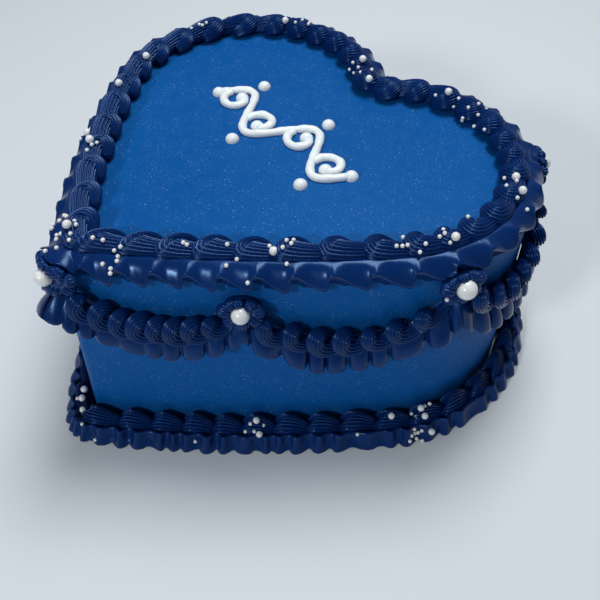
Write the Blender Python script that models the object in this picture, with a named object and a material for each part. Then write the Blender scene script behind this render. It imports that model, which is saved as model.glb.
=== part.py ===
import math

import bmesh
import bpy
from mathutils import Vector
from mathutils.bvhtree import BVHTree

# Sizes in millimetres, angles in degrees

# Heart outline: two lobe arcs, two long side arcs, a round at the tip and a fillet in the notch
CAKE_HEIGHT = 91.5
EDGE_ROUND = 4.0
LOBE_Y = 43.3
LOBE_X_RIGHT = 42.0
LOBE_X_LEFT = 40.0
LOBE_RIGHT = 61.0
LOBE_LEFT = 59.5
SIDE_RIGHT = 520.0
SIDE_LEFT = 420.0
TIP_Y = -81.0
TIP_RADIUS = 4.0
TIP_LEAN = 2.0
LEAN_X = 2.2
LEAN_Y = 2.0
TIP_SHARPEST = 2.0
NOTCH_RADIUS = 4.0
NOTCH_SHARPEST = 0.8
TIP_STEPS = 5
SIDE_STEPS = 10
LOBE_STEPS = 28
NOTCH_STEPS = 5
CLEARANCE = 0.4

# Runs of piped shells
TOP_SHELLS = 34
TOP_SHELL_OUTSET = -8.8
TOP_SHELL_HALF_WIDTH = 6.3
TOP_SHELL_HEIGHT = 9.8
BOTTOM_SHELLS = 46
BOTTOM_SHELL_OUTSET = 4.9
BOTTOM_SHELL_HALF_WIDTH = 4.4
BOTTOM_SHELL_HEIGHT = 14.0
SHELL_UNEVEN = 0.06
SHELL_BULGE = 0.8
TOP_SHELL_SIDES = 7
BOTTOM_SHELL_SIDES = 6

# Ruffles
TOP_RUFFLE_WAVES = 36
TOP_RUFFLE_STEPS = 4
TOP_RUFFLE_ROOT = -2.0
TOP_RUFFLE_RISE = 3.2
TOP_RUFFLE_LIP = 3.8
TOP_RUFFLE_LIP_LEFT = 3.3
TOP_RUFFLE_SWING = 2.4
TOP_RUFFLE_DROP = 2.2
TOP_RUFFLE_DIP = 1.9
TOP_RUFFLE_LEAN = 1.8
TOP_RUFFLE_THICK = 1.7
BOTTOM_RUFFLE_PLEATS = 74
PLEAT_STEPS = 3
PLEAT_PHASE = 0.6
BOTTOM_RUFFLE_INSIDE = 9.8
BOTTOM_RUFFLE_LIP = 13.4
BOTTOM_RUFFLE_SWING = 1.4
BOTTOM_RUFFLE_HEIGHT = 9.2

# Swags on the wall: place and height of each joint from the tip round to the notch, and each sag
JOINT_PLACES = (0.0, 65.2, 143.2, 222.5)
JOINT_HEIGHTS = (87.5, 79.7, 84.5, 84.5, 83.0)
SWAG_SAGS = (13.0, 17.0, 17.0, 16.0)
SWAG_SHOULDER = 2.0
SWAG_END = 7.5
SWAG_PITCH = 8.0
SWAG_SHELL_OUTSET = 4.9
SWAG_SHELL_RADIUS = 4.0
SWAG_SHELL_INSIDE = 0.9
SWAG_SHELL_ANGLES = (-150, -100, -20, 40, 100, 150)
SWAG_RUFFLE_TOP = 4.9
SWAG_RUFFLE_INSIDE = 0.6
SWAG_RUFFLE_SHELF = 5.0
SWAG_RUFFLE_LENGTH = 9.0
SWAG_RUFFLE_LIP = 8.4
SWAG_RUFFLE_SWING = 1.3
SWAG_RUFFLE_GAP = 0.7
NOTCH_SPACE = 2.4

# Rosettes and pearls at the joints, from the tip round to the notch
ROSETTE_RADIUS = 8.6
ROSETTE_RISE = 5.0
ROSETTE_LOBES = 5
ROSETTE_CREST = 4.4
ROSETTE_RIM = 1.8
ROSETTE_BACK = 0.5
TIP_ROSETTE_BACK = 2.1
ROSETTE_HOLLOW = 2.0
ROSETTE_SAMPLES = 15
PEARL_HEIGHTS = (90.0, 79.6, 86.0, 87.6, 84.0)
PEARL_RADII = (3.3, 3.4, 3.9, 3.4, 3.4)
PEARL_SPACES = (1.0, 1.0, 1.0, 1.6, 5.6)
SMALL_PEARL_RADIUS = 2.0
PEARL_SINK = 0.7

# Small pearls on the shells, as distance along the run and tilt above the outside
TOP_PEARLS = (
    (47.5, 79), (68.5, 69), (132, 74), (168.5, 61), (241.5, 83), (278, 99),
    (288, 104), (346, 95), (398.5, 82), (430.5, 95), (543, 61),
)
LOW_PEARLS = (
    (73, 90), (76, 75), (129.5, 88), (143.5, 76),
    (235, 80), (520, 76), (631, 92), (636, 80),
)

# Piped scroll on the top
SCROLL_X = -2.0
SCROLL_Y = 31.0
SCROLL_LENGTH = 84.0
SCROLL_WAVES = 2
SCROLL_SWING = 11.0
SCROLL_WIDTH = 1.8
SCROLL_RISE = 2.6
SCROLL_SINK = 0.7
SCROLL_STEP = 5.5
CURL_RADIUS = 7.1
CURL_START = 152.0
CURL_TURN = 290.0
CURL_END = 0.37
BLOB_RADIUS = 3.0
DOT_SPACE = 7.0


def remove_all():
    for thing in list(bpy.data.objects):
        bpy.data.objects.remove(thing, do_unlink=True)


def meet(first, first_reach, second, second_reach, side):
    """Point at the two reaches from two centres, on the left (1) or right (-1) of the line between them"""
    dx = second[0] - first[0]
    dy = second[1] - first[1]
    gap = math.hypot(dx, dy)
    along = (first_reach ** 2 - second_reach ** 2 + gap ** 2) / (2 * gap)
    across = side * math.sqrt(max(first_reach ** 2 - along ** 2, 0.0))
    return (
        first[0] + (along * dx - across * dy) / gap,
        first[1] + (along * dy + across * dx) / gap,
    )


def bearing(start, end):
    return math.atan2(end[1] - start[1], end[0] - start[0])


def raised(angle, floor):
    while angle < floor:
        angle += 2 * math.pi
    return angle


ARCS = {}


def heart_arcs(outset, height):
    """Six arcs anticlockwise from the tip, as centre, radius, first angle, last angle and outward sign"""
    key = (round(outset, 4), round(height, 4))
    if key in ARCS:
        return ARCS[key]
    rise = height / CAKE_HEIGHT
    tip = (LEAN_X * rise, TIP_Y + TIP_RADIUS + (LEAN_Y + TIP_LEAN) * rise)
    right = (LOBE_X_RIGHT + LEAN_X * rise, LOBE_Y + LEAN_Y * rise)
    left = (LEAN_X * rise - LOBE_X_LEFT, LOBE_Y + LEAN_Y * rise)
    side_r = meet(tip, SIDE_RIGHT - TIP_RADIUS, right, SIDE_RIGHT - LOBE_RIGHT, 1)
    side_l = meet(tip, SIDE_LEFT - TIP_RADIUS, left, SIDE_LEFT - LOBE_LEFT, -1)
    tip_round = TIP_RADIUS + outset
    if tip_round < TIP_SHARPEST:
        tip_round = TIP_SHARPEST
        reach_r = SIDE_RIGHT + outset - tip_round
        reach_l = SIDE_LEFT + outset - tip_round
        tip = meet(side_r, reach_r, side_l, reach_l, -1)
    notch_round = max(NOTCH_RADIUS - outset, NOTCH_SHARPEST)
    notch_r = LOBE_RIGHT + outset + notch_round
    notch_l = LOBE_LEFT + outset + notch_round
    notch = meet(right, notch_r, left, notch_l, -1)
    right_join = bearing(side_r, right)
    left_join = raised(bearing(side_l, left), 0.0)
    tip_end = bearing(side_r, tip)
    tip_start = bearing(side_l, tip)
    notch_start = bearing(notch, right)
    notch_end = bearing(notch, left)
    if notch_end > notch_start:
        notch_end -= 2 * math.pi
    lobe_end = bearing(right, notch)
    lobe_start = bearing(left, notch)
    ARCS[key] = (
        (tip, tip_round, tip_start, tip_end, 1),
        (side_r, SIDE_RIGHT + outset, tip_end, right_join, 1),
        (right, LOBE_RIGHT + outset, right_join, lobe_end, 1),
        (notch, notch_round, notch_start, notch_end, -1),
        (left, LOBE_LEFT + outset, lobe_start, raised(left_join, lobe_start), 1),
        (side_l, SIDE_LEFT + outset, left_join, raised(tip_start, left_join), 1),
    )
    return ARCS[key]


def arc_point(share, outset, height):
    """Point of the outline at a share from 0 to 6, one unit for each arc"""
    share = share % 6
    index = min(int(share), 5)
    centre, radius, first, last, sign = heart_arcs(outset, height)[index]
    angle = first + (last - first) * (share - index)
    return Vector((centre[0] + radius * math.cos(angle), centre[1] + radius * math.sin(angle), height))


def arc_lengths(outset, height):
    return [abs(last - first) * radius for centre, radius, first, last, sign in heart_arcs(outset, height)]


def share_at(distance, outset, height):
    """Share of the outline at a distance from the middle of the tip, measured on one outset"""
    lengths = arc_lengths(outset, height)
    left = (distance + lengths[0] / 2) % sum(lengths)
    for index, length in enumerate(lengths):
        if left <= length:
            return index + left / length
        left -= length
    return 0.0


class Path:
    """A run round the heart with its own outset, on which distances are measured"""

    def __init__(self, outset, height):
        self.outset = outset
        self.height = height
        lengths = arc_lengths(outset, height)
        self.length = sum(lengths)
        self.notch = sum(lengths[1:3]) + (lengths[0] + lengths[3]) / 2

    def at(self, share):
        """Distance at a share of the run, with the notch at one half"""
        if share < 0.5:
            return self.notch * share * 2
        return self.notch + (self.length - self.notch) * (share * 2 - 1)

    def spot(self, distance, outset, height):
        return arc_point(share_at(distance, self.outset, self.height), outset, height)


def make_object(name, points, faces, colour, roughness, coat=0.0):
    mesh = bpy.data.meshes.new(name)
    mesh.from_pydata([Vector(point) / 1000 for point in points], [], faces)
    mesh.update()
    thing = bpy.data.objects.new(name, mesh)
    bpy.context.scene.collection.objects.link(thing)
    body = bmesh.new()
    body.from_mesh(mesh)
    bmesh.ops.recalc_face_normals(body, faces=body.faces)
    body.to_mesh(mesh)
    body.free()
    if colour:
        paint(thing, colour, roughness, coat)
    return thing


def paint(thing, colour, roughness, coat=0.0):
    material = bpy.data.materials.new(thing.name)
    material.use_nodes = True
    shader = material.node_tree.nodes["Principled BSDF"]
    shader.inputs["Base Color"].default_value = (*colour, 1.0)
    shader.inputs["Roughness"].default_value = roughness
    shader.inputs["Metallic"].default_value = 0.0
    shader.inputs["Coat Weight"].default_value = coat
    thing.data.materials.clear()
    thing.data.materials.append(material)


def loft(rings, closed):
    """Faces over equal rings of points, joined end to end or capped"""
    count = len(rings[0])
    points = [point for ring in rings for point in ring]
    faces = []
    last = len(rings) if closed else len(rings) - 1
    for index in range(last):
        here = index * count
        there = (index + 1) % len(rings) * count
        for side in range(count):
            beside = (side + 1) % count
            faces.append((here + side, here + beside, there + beside, there + side))
    if not closed:
        faces.append(tuple(range(count)))
        faces.append(tuple(range((len(rings) - 1) * count, len(rings) * count)))
    return points, faces


def uneven(index, turn):
    """A fixed unevenness from -1 to 1 for a piece in a run"""
    return math.sin(index * 2.399 + turn) * 0.6 + math.sin(index * 5.13 + turn * 3) * 0.4


# Colours as shown in the photo, in linear light
BLUE = (0.006, 0.085, 0.30)
NAVY = (0.005, 0.013, 0.070)
WHITE = (0.80, 0.80, 0.76)

# Rings of a shell: share of its length, then its width, height and inward shift there
SHELL_FORM = (
    (0.0, 0.54, 0.56, 0.0),
    (0.11, 1.00, 0.90, 0.0),
    (0.40, 1.00, 1.00, 0.0),
    (0.76, 0.72, 0.76, -0.5),
)
LOW_SHELL_FORM = (
    (0.0, 0.62, 0.68, 0.0),
    (0.16, 1.00, 0.95, 0.0),
    (0.60, 0.92, 0.94, 0.0),
)

# Rings of a garland's loop: share of its length and its width there
LOOP_FORM = ((0.0, 0.62), (0.30, 1.0), (0.68, 0.88))


def shell_run(name, path, count, half_width, height, base, form, around, inner_stop=-CAKE_HEIGHT):
    rings = []
    for index in range(count):
        size = 1 + SHELL_UNEVEN * uneven(index, 1.0)
        for share, width, rise, shift in form:
            place = path.at((index + share) / count)
            ring = []
            for step in range(around):
                angle = math.pi * step / (around - 1)
                sideways = half_width * width * min(size, 1.0) * math.cos(angle)
                outset = max(path.outset + shift + sideways, inner_stop)
                up = base + height * rise * size * math.sin(angle) ** SHELL_BULGE
                ring.append(path.spot(place, outset, up))
            rings.append(ring)
    points, faces = loft(rings, True)
    return make_object(name, points, faces, None, 0)


def ball(name, centre, radius, around, levels):
    """A round ball with poles up and down, in millimetres"""
    points = [centre + Vector((0, 0, radius))]
    for level in range(1, levels):
        tilt = math.pi * level / levels
        for step in range(around):
            turn = 2 * math.pi * (step + level % 2 / 2) / around
            flat = radius * math.sin(tilt)
            offset = Vector((flat * math.cos(turn), flat * math.sin(turn), radius * math.cos(tilt)))
            points.append(centre + offset)
    points.append(centre - Vector((0, 0, radius)))
    faces = []
    for step in range(around):
        faces.append((0, 1 + step, 1 + (step + 1) % around))
        low = 1 + (levels - 2) * around
        faces.append((len(points) - 1, low + (step + 1) % around, low + step))
    for level in range(levels - 2):
        for step in range(around):
            here = 1 + level * around
            beside = (step + 1) % around
            faces.append((here + step, here + around + step, here + around + beside, here + beside))
    return make_object(name, points, faces, None, 0)


def join(thing, pieces):
    """One union of all the pieces with the thing"""
    group = bpy.data.collections.new(thing.name + "_bits")
    bpy.context.scene.collection.children.link(group)
    for piece in pieces:
        bpy.context.scene.collection.objects.unlink(piece)
        group.objects.link(piece)
    union = thing.modifiers.new("union", "BOOLEAN")
    union.operation = "UNION"
    union.operand_type = "COLLECTION"
    union.collection = group
    union.solver = "EXACT"
    bpy.context.view_layer.update()
    seen = bpy.context.evaluated_depsgraph_get()
    mesh = bpy.data.meshes.new_from_object(thing.evaluated_get(seen))
    thing.modifiers.clear()
    thing.data = mesh
    for piece in pieces:
        bpy.data.objects.remove(piece, do_unlink=True)
    bpy.data.collections.remove(group)


def perched_balls(thing, path, places, aim_outset, aim_height):
    """Balls resting on a run where a ray from outside first meets it; a place is a distance and a tilt"""
    tree = BVHTree.FromPolygons(
        [vertex.co * 1000 for vertex in thing.data.vertices],
        [tuple(face.vertices) for face in thing.data.polygons],
    )
    balls = []
    for distance, tilt in places:
        lean = math.radians(tilt)
        aim = path.spot(distance, aim_outset, aim_height)
        reach = 30.0
        start = path.spot(distance, aim_outset + reach * math.cos(lean), aim_height + reach * math.sin(lean))
        ray = (aim - start).normalized()
        hit, normal, face, far = tree.ray_cast(start, ray)
        centre = hit - ray * (SMALL_PEARL_RADIUS - PEARL_SINK)
        balls.append(ball("bit", centre, SMALL_PEARL_RADIUS, 6, 4))
    return balls


def build_cake():
    counts = (TIP_STEPS, SIDE_STEPS, LOBE_STEPS, NOTCH_STEPS, LOBE_STEPS, SIDE_STEPS)
    shares = [index + step / count for index, count in enumerate(counts) for step in range(count)]
    levels = [(0.0, 0.0)]
    for tilt in (0, 45, 90):
        drop = EDGE_ROUND * (1 - math.sin(math.radians(tilt)))
        inset = EDGE_ROUND * (1 - math.cos(math.radians(tilt)))
        levels.append((-inset, CAKE_HEIGHT - drop))
    rings = [[arc_point(share, outset, height) for share in shares] for outset, height in levels]
    points, faces = loft(rings, False)
    cake = make_object("cake", points, faces, BLUE, 0.45)
    join(cake, scroll_strokes())
    paint(cake, BLUE, 0.45)


def stroke(points, width):
    """A half round rope along points on the cake's top"""
    base = CAKE_HEIGHT - SCROLL_SINK
    section = ((-1.0, 0.0), (-0.85, 0.55), (0.0, 1.0), (0.85, 0.55), (1.0, 0.0))
    rings = []
    for index, point in enumerate(points):
        before = points[max(index - 1, 0)]
        after = points[min(index + 1, len(points) - 1)]
        way = Vector((after[0] - before[0], after[1] - before[1])).normalized()
        taper = 0.75 if index in (0, len(points) - 1) else 1.0
        ring = []
        for across, up in section:
            ring.append((
                point[0] - way.y * across * width * taper,
                point[1] + way.x * across * width * taper,
                base + up * (SCROLL_RISE + SCROLL_SINK) * taper,
            ))
        rings.append(ring)
    points, faces = loft(rings, False)
    return make_object("bit", points, faces, None, 0)


def spiral(centre, radius, start, turn, steps, end_share):
    points = []
    for step in range(steps):
        share = step / (steps - 1)
        angle = math.radians(start + turn * share)
        reach = radius * (1 + (end_share - 1) * share)
        points.append((centre[0] + reach * math.cos(angle), centre[1] + reach * math.sin(angle)))
    return points


def scroll_strokes():
    """A wavy stem with a curl in each hollow, ending in blobs, and a dot over each crest"""
    steps = round(SCROLL_LENGTH * 1.4 / SCROLL_STEP)
    start = SCROLL_X - SCROLL_LENGTH / 2
    stem = []
    for step in range(steps + 1):
        share = step / steps
        swing = SCROLL_SWING * math.sin(2 * math.pi * SCROLL_WAVES * share)
        stem.append((start + SCROLL_LENGTH * share, SCROLL_Y + swing))
    strokes = [stroke(stem, SCROLL_WIDTH)]
    spots = [stem[0], stem[-1]]
    for crest in range(2 * SCROLL_WAVES):
        x = start + SCROLL_LENGTH * (crest + 0.5) / (2 * SCROLL_WAVES)
        up = 1 if crest % 2 == 0 else -1
        centre = (x, SCROLL_Y + 2.0 * up)
        curl = spiral(centre, CURL_RADIUS, up * CURL_START, up * CURL_TURN, 8, CURL_END)
        strokes.append(stroke(curl, SCROLL_WIDTH))
        spots.append(curl[-1])
        spots.append((x, SCROLL_Y + up * (SCROLL_SWING + DOT_SPACE)))
    for x, y in spots:
        strokes.append(ball("bit", Vector((x, y, CAKE_HEIGHT + 0.3)), BLOB_RADIUS, 6, 4))
    return strokes


def build_top_shells():
    path = Path(TOP_SHELL_OUTSET, CAKE_HEIGHT)
    base = CAKE_HEIGHT + CLEARANCE
    shells = shell_run(
        "top_shells", path, TOP_SHELLS, TOP_SHELL_HALF_WIDTH, TOP_SHELL_HEIGHT, base,
        SHELL_FORM, TOP_SHELL_SIDES,
    )
    join(shells, perched_balls(shells, path, TOP_PEARLS, TOP_SHELL_OUTSET, base))
    paint(shells, NAVY, 0.38)


def build_bottom_shells():
    path = Path(BOTTOM_SHELL_OUTSET, 0.0)
    shells = shell_run(
        "bottom_shells", path, BOTTOM_SHELLS, BOTTOM_SHELL_HALF_WIDTH, BOTTOM_SHELL_HEIGHT, 0.0,
        LOW_SHELL_FORM, BOTTOM_SHELL_SIDES, CLEARANCE,
    )
    join(shells, perched_balls(shells, path, LOW_PEARLS, BOTTOM_SHELL_OUTSET, 0.0))
    paint(shells, NAVY, 0.38)


def joint_distances(path):
    """Distances of the eight joints round the wall, the notch in the middle"""
    places = list(JOINT_PLACES) + [path.notch]
    return places + [path.length - place for place in reversed(JOINT_PLACES[1:])]


def all_round(values):
    """Values given from the tip to the notch, carried on round the other side"""
    return list(values) + list(reversed(values[1:-1]))


def ruffle_limit(spot, wall_path):
    """How far the top ruffle may hang below the cake's top at a spot, as it arches over each rosette"""
    limit = CAKE_HEIGHT
    for place, height in zip(joint_distances(wall_path), all_round(PEARL_HEIGHTS)):
        apart = (wall_path.spot(place, 0.0, CAKE_HEIGHT) - spot).length
        under = height + ROSETTE_RISE + 2 * CLEARANCE + TOP_RUFFLE_THICK
        limit = min(limit, CAKE_HEIGHT - under + ROSETTE_RISE * (apart / (ROSETTE_RADIUS + 0.6)) ** 3)
    return limit


def build_top_ruffle(wall_path):
    path = Path(0.0, CAKE_HEIGHT)
    count = TOP_RUFFLE_WAVES * TOP_RUFFLE_STEPS
    rings = []
    for index in range(count):
        place = path.at(index / count)
        phase = 2 * math.pi * index / TOP_RUFFLE_STEPS
        swing = math.sin(phase)
        size = 1 + 0.15 * uneven(index // TOP_RUFFLE_STEPS, 2.0)
        reach = TOP_RUFFLE_LIP if place < path.notch else TOP_RUFFLE_LIP_LEFT
        lip = reach + TOP_RUFFLE_SWING * swing * size
        along = place + TOP_RUFFLE_LEAN * math.sin(phase + 0.5)
        limit = ruffle_limit(path.spot(along, 0.0, CAKE_HEIGHT), wall_path)
        drop = min(TOP_RUFFLE_DROP + TOP_RUFFLE_DIP * swing * size, limit)
        rings.append([
            path.spot(place, TOP_RUFFLE_ROOT, CAKE_HEIGHT + CLEARANCE),
            path.spot(place, TOP_RUFFLE_ROOT - 0.15, CAKE_HEIGHT + TOP_RUFFLE_RISE),
            path.spot(along, lip, CAKE_HEIGHT - drop + TOP_RUFFLE_THICK / 2),
            path.spot(along, lip - 0.5, CAKE_HEIGHT - drop - TOP_RUFFLE_THICK / 2),
        ])
    points, faces = loft(rings, True)
    return make_object("top_ruffle", points, faces, NAVY, 0.42)


def build_bottom_ruffle():
    path = Path(BOTTOM_RUFFLE_LIP, 0.0)
    count = BOTTOM_RUFFLE_PLEATS * PLEAT_STEPS
    rings = []
    for index in range(count):
        place = path.at(index / count)
        swing = math.sin(2 * math.pi * index / PLEAT_STEPS + PLEAT_PHASE)
        size = 1 + 0.2 * uneven(index // PLEAT_STEPS, 4.0)
        lip = BOTTOM_RUFFLE_LIP + BOTTOM_RUFFLE_SWING * swing * size
        rings.append([
            path.spot(place, BOTTOM_RUFFLE_INSIDE, 0.0),
            path.spot(place, BOTTOM_RUFFLE_INSIDE + 0.6 + 0.4 * swing, BOTTOM_RUFFLE_HEIGHT),
            path.spot(place, lip, 0.0),
        ])
    points, faces = loft(rings, True)
    return make_object("bottom_ruffle", points, faces, NAVY, 0.42)


def swag_height(share, first, last, sag):
    """Height of a swag's middle line at a share of its length"""
    line = first + (last - first) * share
    return line - SWAG_SHOULDER - sag * math.sin(math.pi * share) ** 0.8


def build_swag(number, path, start, end, first, last, sag):
    notch = path.notch
    start_gap = NOTCH_SPACE if abs(start - notch) < 1 else SWAG_RUFFLE_GAP
    end_gap = NOTCH_SPACE if abs(end - notch) < 1 else SWAG_RUFFLE_GAP
    begin = start + start_gap / 2
    finish = end - end_gap / 2
    count = round((finish - begin) / SWAG_PITCH) * PLEAT_STEPS
    rings = []
    for index in range(count + 1):
        place = begin + (finish - begin) * index / count
        share = (place - start) / (end - start)
        middle = swag_height(share, first, last, sag)
        phase = 2 * math.pi * index / PLEAT_STEPS + PLEAT_PHASE
        swing = math.sin(phase) * (1 + 0.2 * uneven(index, number))
        length = SWAG_RUFFLE_LENGTH * (0.72 + 0.28 * math.sin(math.pi * share) ** 0.5)
        top = middle - SWAG_RUFFLE_TOP
        low = top - length
        lip = SWAG_RUFFLE_LIP + SWAG_RUFFLE_SWING * swing
        rings.append([
            path.spot(place, SWAG_RUFFLE_INSIDE, top),
            path.spot(place, SWAG_RUFFLE_SHELF + 0.3 * swing, top),
            path.spot(place, lip, low),
        ])
    points, faces = loft(rings, False)
    make_object("swag_ruffle_%d" % number, points, faces, NAVY, 0.40)

    begin = start + SWAG_END
    finish = end - SWAG_END
    bumps = round((finish - begin) / SWAG_PITCH)
    rings = []
    for index in range(bumps * len(LOOP_FORM) + 1):
        bump, part = divmod(index, len(LOOP_FORM))
        share_in, size = LOOP_FORM[part]
        place = begin + (finish - begin) * (bump + share_in) / bumps
        share = (place - start) / (end - start)
        middle = swag_height(share, first, last, sag) + 0.5 * uneven(bump, number + 5)
        ring = []
        for turn in SWAG_SHELL_ANGLES:
            angle = math.radians(turn)
            out = SWAG_SHELL_OUTSET + SWAG_SHELL_RADIUS * size * math.cos(angle)
            up = middle + SWAG_SHELL_RADIUS * size * math.sin(angle)
            ring.append(path.spot(place, max(out, SWAG_SHELL_INSIDE), up))
        rings.append(ring)
    points, faces = loft(rings, False)
    make_object("swag_shells_%d" % number, points, faces, NAVY, 0.30)


def rosette_reach(turn, share):
    lobe = math.cos(ROSETTE_LOBES * (turn - math.pi / 2))
    reach = (ROSETTE_RADIUS - 1.2 + 1.2 * lobe) * share
    if math.sin(turn) > 0:
        reach *= 1 - (1 - ROSETTE_RISE / ROSETTE_RADIUS) * math.sin(turn)
    return reach


def crest_outset(turn, reach, pearl_out, pearl_reach):
    """Outset of the drops' crest, hollowed where the pearl comes near"""
    crest = ROSETTE_CREST + 0.5 * math.cos(ROSETTE_LOBES * (turn - math.pi / 2))
    if reach < pearl_reach:
        crest = min(crest, pearl_out - math.sqrt(pearl_reach ** 2 - reach ** 2))
    return crest


def build_rosette(number, path, place, height, radius, space):
    """Ridged drops round a hollow in which the pearl sits"""
    back = TIP_ROSETTE_BACK if number == 1 else ROSETTE_BACK
    pearl_out = ROSETTE_HOLLOW + space + radius
    points = [path.spot(place, ROSETTE_HOLLOW, height)]
    for share, out in ((0.6, None), (1.0, ROSETTE_RIM), (0.9, back)):
        for step in range(ROSETTE_SAMPLES):
            turn = 2 * math.pi * step / ROSETTE_SAMPLES
            reach = rosette_reach(turn, share)
            outset = out or crest_outset(turn, reach, pearl_out, radius + space)
            points.append(path.spot(place + reach * math.cos(turn), outset, height + reach * math.sin(turn)))
    points.append(path.spot(place, ROSETTE_BACK, height))
    faces = []
    last_row = 1 + 2 * ROSETTE_SAMPLES
    for step in range(ROSETTE_SAMPLES):
        beside = (step + 1) % ROSETTE_SAMPLES
        faces.append((0, 1 + step, 1 + beside))
        faces.append((len(points) - 1, last_row + beside, last_row + step))
        for row in range(2):
            here = 1 + row * ROSETTE_SAMPLES
            there = here + ROSETTE_SAMPLES
            faces.append((here + step, there + step, there + beside, here + beside))
    make_object("rosette_%d" % number, points, faces, NAVY, 0.34)


def build_pearl(number, path, place, height, radius, space):
    centre = path.spot(place, ROSETTE_HOLLOW + space + radius, height)
    pearl = ball("pearl_%d" % number, centre, radius, 8, 5)
    paint(pearl, WHITE, 0.25)


remove_all()
build_cake()
build_top_shells()
build_bottom_shells()
build_bottom_ruffle()
wall_path = Path(0.0, 60.0)
build_top_ruffle(wall_path)
places = joint_distances(wall_path)
heights = all_round(JOINT_HEIGHTS)
pearl_heights = all_round(PEARL_HEIGHTS)
radii = all_round(PEARL_RADII)
spaces = all_round(PEARL_SPACES)
sags = SWAG_SAGS + tuple(reversed(SWAG_SAGS))
for number in range(8):
    after = (number + 1) % 8
    end = places[after] if after else wall_path.length
    build_swag(number + 1, wall_path, places[number], end, heights[number], heights[after], sags[number])
    seat = (places[number], pearl_heights[number], radii[number], spaces[number])
    build_rosette(number + 1, wall_path, *seat)
    build_pearl(number + 1, wall_path, *seat)


def centre_all():
    """Sets the middle of the whole cake over the origin"""
    spots = [vertex.co for thing in bpy.data.objects for vertex in thing.data.vertices]
    middle_x = (min(spot.x for spot in spots) + max(spot.x for spot in spots)) / 2
    middle_y = (min(spot.y for spot in spots) + max(spot.y for spot in spots)) / 2
    for thing in bpy.data.objects:
        for vertex in thing.data.vertices:
            vertex.co.x -= middle_x
            vertex.co.y -= middle_y


centre_all()
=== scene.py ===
import math

import bpy
import numpy as np
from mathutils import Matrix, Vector
from mathutils.bvhtree import BVHTree


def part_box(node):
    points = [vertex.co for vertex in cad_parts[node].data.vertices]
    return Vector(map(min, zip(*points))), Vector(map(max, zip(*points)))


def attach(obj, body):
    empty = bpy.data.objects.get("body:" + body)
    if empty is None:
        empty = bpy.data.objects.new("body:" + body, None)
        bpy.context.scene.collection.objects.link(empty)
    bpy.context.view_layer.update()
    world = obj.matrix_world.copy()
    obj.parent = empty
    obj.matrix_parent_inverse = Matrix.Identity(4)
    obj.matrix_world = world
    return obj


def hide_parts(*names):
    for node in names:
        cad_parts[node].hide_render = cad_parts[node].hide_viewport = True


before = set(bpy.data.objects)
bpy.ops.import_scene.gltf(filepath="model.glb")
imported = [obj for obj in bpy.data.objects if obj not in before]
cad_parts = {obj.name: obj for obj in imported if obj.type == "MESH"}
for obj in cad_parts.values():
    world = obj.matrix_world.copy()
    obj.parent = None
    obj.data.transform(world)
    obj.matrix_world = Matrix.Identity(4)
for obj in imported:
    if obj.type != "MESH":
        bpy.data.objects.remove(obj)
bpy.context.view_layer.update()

# The camera stands above the cake's right side, a little in front of it, and looks down at about
# forty five degrees. Its place and turn come from a fit to the heart's outline in the photograph.
CAMERA_PLACE = (0.2015, -0.1526, 0.2842)
CAMERA_TURN = (45.487, -1.031, 44.507)
CAMERA_LENS = 45.73
CAMERA_SHIFT = -0.0833
CAMERA_NEAR = 0.01

camera = bpy.data.objects.new("camera", bpy.data.cameras.new("camera"))
bpy.context.scene.collection.objects.link(camera)
camera.location = CAMERA_PLACE
camera.rotation_euler = [math.radians(turn) for turn in CAMERA_TURN]
camera.data.lens = CAMERA_LENS
camera.data.shift_x = CAMERA_SHIFT
camera.data.shift_y = CAMERA_SHIFT
camera.data.clip_start = CAMERA_NEAR
bpy.context.scene.camera = camera

# The studio is a plain pale floor under one broad soft lamp overhead, with a weaker one at the
# front and a pale sky all round, as on an overcast day by a window.
FLOOR_SIZE = 6.0
FLOOR_COLOUR = (0.66, 0.71, 0.75, 1.0)
FLOOR_ROUGHNESS = 0.7
SKY_COLOUR = (0.80, 0.90, 1.0, 1.0)
SKY_STRENGTH = 0.20
LAMPS = (
    ("overhead", (-0.10, 0.30, 1.00), (0.0, 0.0, 0.05), 0.45, 7.7),
    ("front", (0.20, -1.0, 0.75), (0.0, 0.0, 0.05), 0.16, 5.2),
)


def link(thing):
    bpy.context.scene.collection.objects.link(thing)
    return thing


def place_lamp(name, place, aim, size, power):
    lamp = link(bpy.data.objects.new(name, bpy.data.lights.new(name, "AREA")))
    lamp.data.size = size
    lamp.data.energy = power
    lamp.location = place
    lamp.rotation_euler = (Vector(aim) - Vector(place)).to_track_quat("-Z", "Y").to_euler()


for lamp in LAMPS:
    place_lamp(*lamp)

world = bpy.data.worlds.new("sky")
world.use_nodes = True
background = world.node_tree.nodes["Background"]
background.inputs["Color"].default_value = SKY_COLOUR
background.inputs["Strength"].default_value = SKY_STRENGTH
bpy.context.scene.world = world
bpy.context.scene.view_settings.view_transform = "Standard"

half = FLOOR_SIZE / 2
floor_mesh = bpy.data.meshes.new("floor")
floor_mesh.from_pydata(
    [(-half, -half, 0), (half, -half, 0), (half, half, 0), (-half, half, 0)], [], [(0, 1, 2, 3)]
)
floor = link(bpy.data.objects.new("floor", floor_mesh))
floor_material = bpy.data.materials.new("pale_table")
floor_material.use_nodes = True
floor_shader = floor_material.node_tree.nodes["Principled BSDF"]
floor_shader.inputs["Base Color"].default_value = FLOOR_COLOUR
floor_shader.inputs["Roughness"].default_value = FLOOR_ROUGHNESS
floor_mesh.materials.append(floor_material)

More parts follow.
